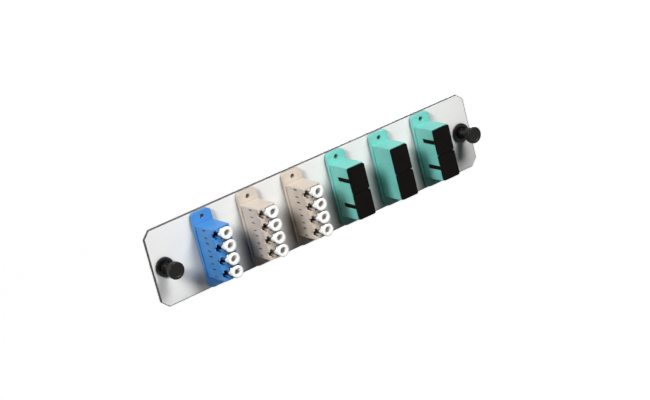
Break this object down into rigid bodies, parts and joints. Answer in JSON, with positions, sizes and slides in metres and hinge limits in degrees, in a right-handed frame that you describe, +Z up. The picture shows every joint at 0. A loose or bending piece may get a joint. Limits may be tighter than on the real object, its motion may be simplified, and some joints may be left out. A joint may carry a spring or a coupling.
{
  "type": "fibre adapter patch panel",
  "caption": "Flat faceplate with angled corners carrying a row of fibre-optic adapters with removable dust plugs, held by a push-pull plunger latch at each end.",
  "frame": {"origin": "centre of the faceplate's back face", "axes": "+X along the panel, to the right seen from the front; +Y out of the faceplate's back face, into the enclosure; +Z up"},
  "size_m": [0.181, 0.0377, 0.037],
  "materials": {
    "plate_paint": "fine-textured light grey powder coat",
    "blue_plastic": "moulded satin",
    "beige_plastic": "moulded satin",
    "aqua_plastic": "moulded satin",
    "natural_plastic": "moulded, unpigmented",
    "white_plastic": "soft moulded polyethylene",
    "black_plastic": "soft moulded satin",
    "latch_plastic": "moulded nylon, satin",
    "spring_steel": "bright rolled strip"
  },
  "bodies": {
    "panel": {"faceplate": "plate_paint", "grommet_left": "latch_plastic", "grommet_right": "latch_plastic", "lc1_front_housing": "blue_plastic", "lc1_rear_housing": "blue_plastic", "lc1_sleeve_holder": "natural_plastic", "lc1_spring_clip": "spring_steel", "lc2_front_housing": "beige_plastic", "lc2_rear_housing": "beige_plastic", "lc2_sleeve_holder": "natural_plastic", "lc2_spring_clip": "spring_steel", "lc3_front_housing": "beige_plastic", "lc3_rear_housing": "beige_plastic", "lc3_sleeve_holder": "natural_plastic", "lc3_spring_clip": "spring_steel", "sc1_front_housing": "aqua_plastic", "sc1_rear_housing": "aqua_plastic", "sc1_sleeve_holder": "natural_plastic", "sc1_spring_clip": "spring_steel", "sc2_front_housing": "aqua_plastic", "sc2_rear_housing": "aqua_plastic", "sc2_sleeve_holder": "natural_plastic", "sc2_spring_clip": "spring_steel", "sc3_front_housing": "aqua_plastic", "sc3_rear_housing": "aqua_plastic", "sc3_sleeve_holder": "natural_plastic", "sc3_spring_clip": "spring_steel"},
    "plunger_left": {"plunger_left": "latch_plastic"},
    "plunger_right": {"plunger_right": "latch_plastic"},
    "lc1_dust_plug_1": {"lc1_dust_plug_1": "white_plastic"},
    "lc1_dust_plug_2": {"lc1_dust_plug_2": "white_plastic"},
    "lc1_dust_plug_3": {"lc1_dust_plug_3": "white_plastic"},
    "lc1_dust_plug_4": {"lc1_dust_plug_4": "white_plastic"},
    "lc1_rear_plug_upper": {"lc1_rear_plug_upper": "white_plastic"},
    "lc1_rear_plug_lower": {"lc1_rear_plug_lower": "white_plastic"},
    "lc2_dust_plug_1": {"lc2_dust_plug_1": "white_plastic"},
    "lc2_dust_plug_2": {"lc2_dust_plug_2": "white_plastic"},
    "lc2_dust_plug_3": {"lc2_dust_plug_3": "white_plastic"},
    "lc2_dust_plug_4": {"lc2_dust_plug_4": "white_plastic"},
    "lc2_rear_plug_upper": {"lc2_rear_plug_upper": "white_plastic"},
    "lc2_rear_plug_lower": {"lc2_rear_plug_lower": "white_plastic"},
    "lc3_dust_plug_1": {"lc3_dust_plug_1": "white_plastic"},
    "lc3_dust_plug_2": {"lc3_dust_plug_2": "white_plastic"},
    "lc3_dust_plug_3": {"lc3_dust_plug_3": "white_plastic"},
    "lc3_dust_plug_4": {"lc3_dust_plug_4": "white_plastic"},
    "lc3_rear_plug_upper": {"lc3_rear_plug_upper": "white_plastic"},
    "lc3_rear_plug_lower": {"lc3_rear_plug_lower": "white_plastic"},
    "sc1_dust_cap_upper": {"sc1_dust_cap_upper": "black_plastic"},
    "sc1_dust_cap_lower": {"sc1_dust_cap_lower": "black_plastic"},
    "sc1_rear_dust_cap": {"sc1_rear_dust_cap": "black_plastic"},
    "sc2_dust_cap_upper": {"sc2_dust_cap_upper": "black_plastic"},
    "sc2_dust_cap_lower": {"sc2_dust_cap_lower": "black_plastic"},
    "sc2_rear_dust_cap": {"sc2_rear_dust_cap": "black_plastic"},
    "sc3_dust_cap_upper": {"sc3_dust_cap_upper": "black_plastic"},
    "sc3_dust_cap_lower": {"sc3_dust_cap_lower": "black_plastic"},
    "sc3_rear_dust_cap": {"sc3_rear_dust_cap": "black_plastic"}
  },
  "joints": [
    {"name": "plunger_left_slide", "type": "slide", "parent": "panel", "child": "plunger_left", "axis": [0, 1, 0], "range_m": [0, 0.0075]},
    {"name": "plunger_right_slide", "type": "slide", "parent": "panel", "child": "plunger_right", "axis": [0, 1, 0], "range_m": [0, 0.0075]},
    {"name": "lc1_dust_plug_1_slide", "type": "slide", "parent": "panel", "child": "lc1_dust_plug_1", "axis": [0, -1, 0], "range_m": [0, 0.012]},
    {"name": "lc1_dust_plug_2_slide", "type": "slide", "parent": "panel", "child": "lc1_dust_plug_2", "axis": [0, -1, 0], "range_m": [0, 0.012]},
    {"name": "lc1_dust_plug_3_slide", "type": "slide", "parent": "panel", "child": "lc1_dust_plug_3", "axis": [0, -1, 0], "range_m": [0, 0.012]},
    {"name": "lc1_dust_plug_4_slide", "type": "slide", "parent": "panel", "child": "lc1_dust_plug_4", "axis": [0, -1, 0], "range_m": [0, 0.012]},
    {"name": "lc1_rear_plug_upper_slide", "type": "slide", "parent": "panel", "child": "lc1_rear_plug_upper", "axis": [0, 1, 0], "range_m": [0, 0.0105]},
    {"name": "lc1_rear_plug_lower_slide", "type": "slide", "parent": "panel", "child": "lc1_rear_plug_lower", "axis": [0, 1, 0], "range_m": [0, 0.0105]},
    {"name": "lc2_dust_plug_1_slide", "type": "slide", "parent": "panel", "child": "lc2_dust_plug_1", "axis": [0, -1, 0], "range_m": [0, 0.012]},
    {"name": "lc2_dust_plug_2_slide", "type": "slide", "parent": "panel", "child": "lc2_dust_plug_2", "axis": [0, -1, 0], "range_m": [0, 0.012]},
    {"name": "lc2_dust_plug_3_slide", "type": "slide", "parent": "panel", "child": "lc2_dust_plug_3", "axis": [0, -1, 0], "range_m": [0, 0.012]},
    {"name": "lc2_dust_plug_4_slide", "type": "slide", "parent": "panel", "child": "lc2_dust_plug_4", "axis": [0, -1, 0], "range_m": [0, 0.012]},
    {"name": "lc2_rear_plug_upper_slide", "type": "slide", "parent": "panel", "child": "lc2_rear_plug_upper", "axis": [0, 1, 0], "range_m": [0, 0.0105]},
    {"name": "lc2_rear_plug_lower_slide", "type": "slide", "parent": "panel", "child": "lc2_rear_plug_lower", "axis": [0, 1, 0], "range_m": [0, 0.0105]},
    {"name": "lc3_dust_plug_1_slide", "type": "slide", "parent": "panel", "child": "lc3_dust_plug_1", "axis": [0, -1, 0], "range_m": [0, 0.012]},
    {"name": "lc3_dust_plug_2_slide", "type": "slide", "parent": "panel", "child": "lc3_dust_plug_2", "axis": [0, -1, 0], "range_m": [0, 0.012]},
    {"name": "lc3_dust_plug_3_slide", "type": "slide", "parent": "panel", "child": "lc3_dust_plug_3", "axis": [0, -1, 0], "range_m": [0, 0.012]},
    {"name": "lc3_dust_plug_4_slide", "type": "slide", "parent": "panel", "child": "lc3_dust_plug_4", "axis": [0, -1, 0], "range_m": [0, 0.012]},
    {"name": "lc3_rear_plug_upper_slide", "type": "slide", "parent": "panel", "child": "lc3_rear_plug_upper", "axis": [0, 1, 0], "range_m": [0, 0.0105]},
    {"name": "lc3_rear_plug_lower_slide", "type": "slide", "parent": "panel", "child": "lc3_rear_plug_lower", "axis": [0, 1, 0], "range_m": [0, 0.0105]},
    {"name": "sc1_dust_cap_upper_slide", "type": "slide", "parent": "panel", "child": "sc1_dust_cap_upper", "axis": [0, -1, 0], "range_m": [0, 0.0085]},
    {"name": "sc1_dust_cap_lower_slide", "type": "slide", "parent": "panel", "child": "sc1_dust_cap_lower", "axis": [0, -1, 0], "range_m": [0, 0.0085]},
    {"name": "sc1_rear_dust_cap_slide", "type": "slide", "parent": "panel", "child": "sc1_rear_dust_cap", "axis": [0, 1, 0], "range_m": [0, 0.0085]},
    {"name": "sc2_dust_cap_upper_slide", "type": "slide", "parent": "panel", "child": "sc2_dust_cap_upper", "axis": [0, -1, 0], "range_m": [0, 0.0085]},
    {"name": "sc2_dust_cap_lower_slide", "type": "slide", "parent": "panel", "child": "sc2_dust_cap_lower", "axis": [0, -1, 0], "range_m": [0, 0.0085]},
    {"name": "sc2_rear_dust_cap_slide", "type": "slide", "parent": "panel", "child": "sc2_rear_dust_cap", "axis": [0, 1, 0], "range_m": [0, 0.0085]},
    {"name": "sc3_dust_cap_upper_slide", "type": "slide", "parent": "panel", "child": "sc3_dust_cap_upper", "axis": [0, -1, 0], "range_m": [0, 0.0085]},
    {"name": "sc3_dust_cap_lower_slide", "type": "slide", "parent": "panel", "child": "sc3_dust_cap_lower", "axis": [0, -1, 0], "range_m": [0, 0.0085]},
    {"name": "sc3_rear_dust_cap_slide", "type": "slide", "parent": "panel", "child": "sc3_rear_dust_cap", "axis": [0, 1, 0], "range_m": [0, 0.0085]}
  ]
}
